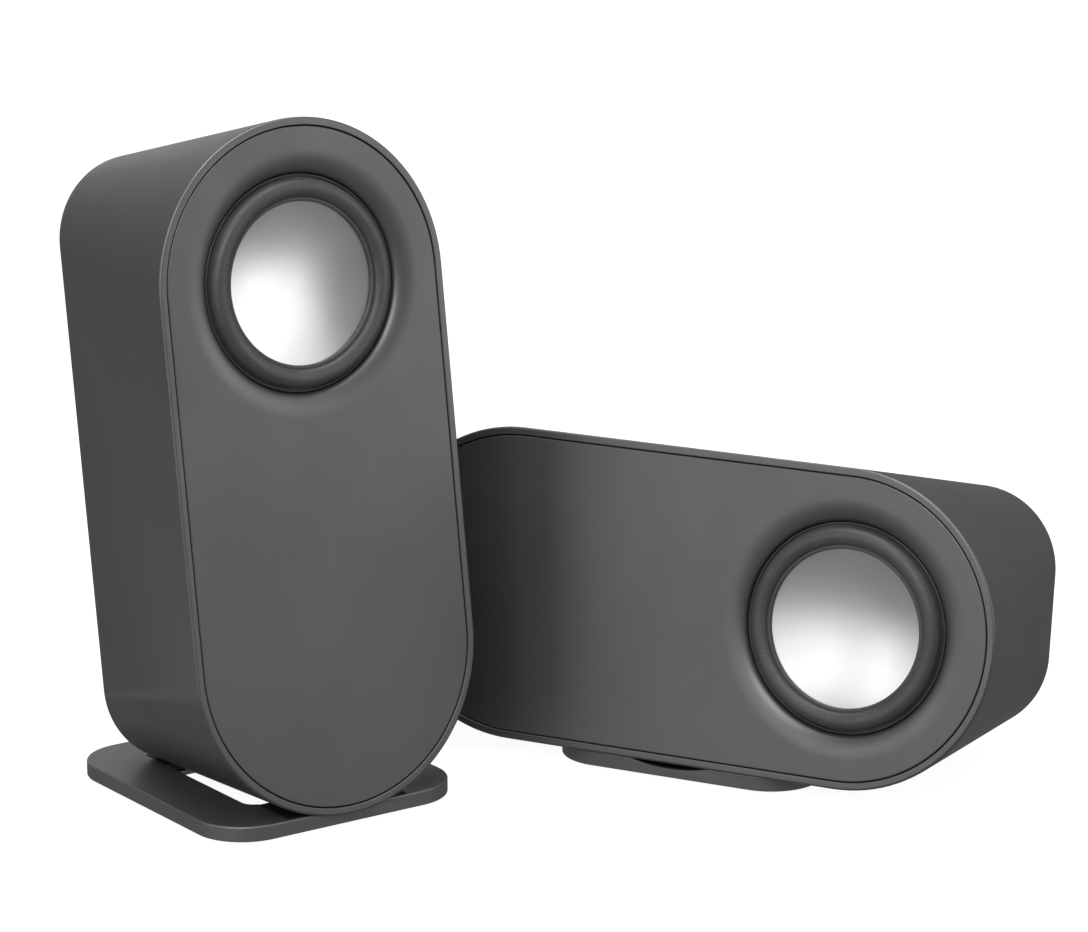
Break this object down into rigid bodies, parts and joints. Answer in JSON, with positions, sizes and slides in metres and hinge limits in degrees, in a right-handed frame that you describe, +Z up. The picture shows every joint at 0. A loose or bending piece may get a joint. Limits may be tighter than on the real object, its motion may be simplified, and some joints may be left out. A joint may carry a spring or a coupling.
{
  "type": "desktop speaker pair",
  "caption": "Desktop speakers with tapered stadium-shaped cabinets and silver cones, one upright and one on its side, each resting leaned back on a low cradle stand",
  "frame": {"origin": "centre of the pair's footprint box, on the desk surface", "axes": "+X to the right along the pair as arranged, +Y away from the person in front, +Z up"},
  "size_m": [0.2922, 0.176, 0.2019],
  "materials": {
    "shell": "matte graphite moulding, fine satin texture",
    "baffle": "matte graphite moulding, slightly smoother than the shell",
    "stand": "matte graphite, satin",
    "trim": "dark satin ring",
    "surround": "dark satin rubber",
    "silver_cone": "smooth satin silver, brightly reflecting",
    "rubber": "matte black rubber",
    "gasket_foam": "black closed-cell foam",
    "wadding": "off-white polyester wadding",
    "basket": "black painted pressed steel",
    "zinc_steel": "zinc-plated steel",
    "ferrite": "dull dark grey ferrite",
    "copper": "lacquered copper wire on a paper former",
    "spider_cloth": "resin-dipped yellow-brown cloth",
    "terminal_board": "brown laminate board",
    "lead_red": "red wire insulation",
    "lead_black": "black wire insulation"
  },
  "bodies": {
    "left_stand": {"left_stand_plate": "stand", "left_front_cradle_pad": "rubber", "left_rear_cradle_pad": "rubber", "left_foot_1": "rubber", "left_foot_2": "rubber", "left_foot_3": "rubber", "left_foot_4": "rubber"},
    "left_cabinet": {"left_cabinet_shell": "shell", "left_front_baffle": "baffle", "left_baffle_gasket": "gasket_foam", "left_driver_trim_ring": "trim", "left_driver_basket": "basket", "left_spider": "spider_cloth", "left_top_plate": "zinc_steel", "left_magnet": "ferrite", "left_pole_yoke": "zinc_steel", "left_terminal_strip": "terminal_board", "left_driver_screw_1": "zinc_steel", "left_driver_screw_2": "zinc_steel", "left_driver_screw_3": "zinc_steel", "left_driver_screw_4": "zinc_steel", "left_lead_wire_red": "lead_red", "left_lead_wire_black": "lead_black", "left_cable_gland": "rubber", "left_damping_wadding": "wadding"},
    "left_diaphragm": {"left_cone": "silver_cone", "left_voice_coil": "copper", "left_surround": "surround"},
    "right_stand": {"right_stand_plate": "stand", "right_front_cradle_pad": "rubber", "right_rear_cradle_pad": "rubber", "right_foot_1": "rubber", "right_foot_2": "rubber", "right_foot_3": "rubber", "right_foot_4": "rubber"},
    "right_cabinet": {"right_cabinet_shell": "shell", "right_front_baffle": "baffle", "right_baffle_gasket": "gasket_foam", "right_driver_trim_ring": "trim", "right_driver_basket": "basket", "right_spider": "spider_cloth", "right_top_plate": "zinc_steel", "right_magnet": "ferrite", "right_pole_yoke": "zinc_steel", "right_terminal_strip": "terminal_board", "right_driver_screw_1": "zinc_steel", "right_driver_screw_2": "zinc_steel", "right_driver_screw_3": "zinc_steel", "right_driver_screw_4": "zinc_steel", "right_lead_wire_red": "lead_red", "right_lead_wire_black": "lead_black", "right_cable_gland": "rubber", "right_damping_wadding": "wadding"},
    "right_diaphragm": {"right_cone": "silver_cone", "right_voice_coil": "copper", "right_surround": "surround"}
  },
  "joints": [
    {"name": "left_lift_off", "type": "slide", "parent": "left_stand", "child": "left_cabinet", "axis": [0, 0, 1], "range_m": [0, 0.06]},
    {"name": "left_cone_travel", "type": "slide", "parent": "left_cabinet", "child": "left_diaphragm", "axis": [0.5707, -0.809, 0.1409], "range_m": [-0.002, 0.002], "stiffness_N_per_m": 1500, "deforming": ["left_surround", "left_spider"]},
    {"name": "right_lift_off", "type": "slide", "parent": "right_stand", "child": "right_cabinet", "axis": [0, 0, 1], "range_m": [0, 0.06]},
    {"name": "right_cone_travel", "type": "slide", "parent": "right_cabinet", "child": "right_diaphragm", "axis": [-0.4541, -0.8798, 0.1409], "range_m": [-0.002, 0.002], "stiffness_N_per_m": 1500, "deforming": ["right_surround", "right_spider"]},
    {"name": "pair_spread", "type": "slide", "parent": "left_stand", "child": "right_stand", "axis": [1, 0, 0], "range_m": [0, 0.4]}
  ]
}
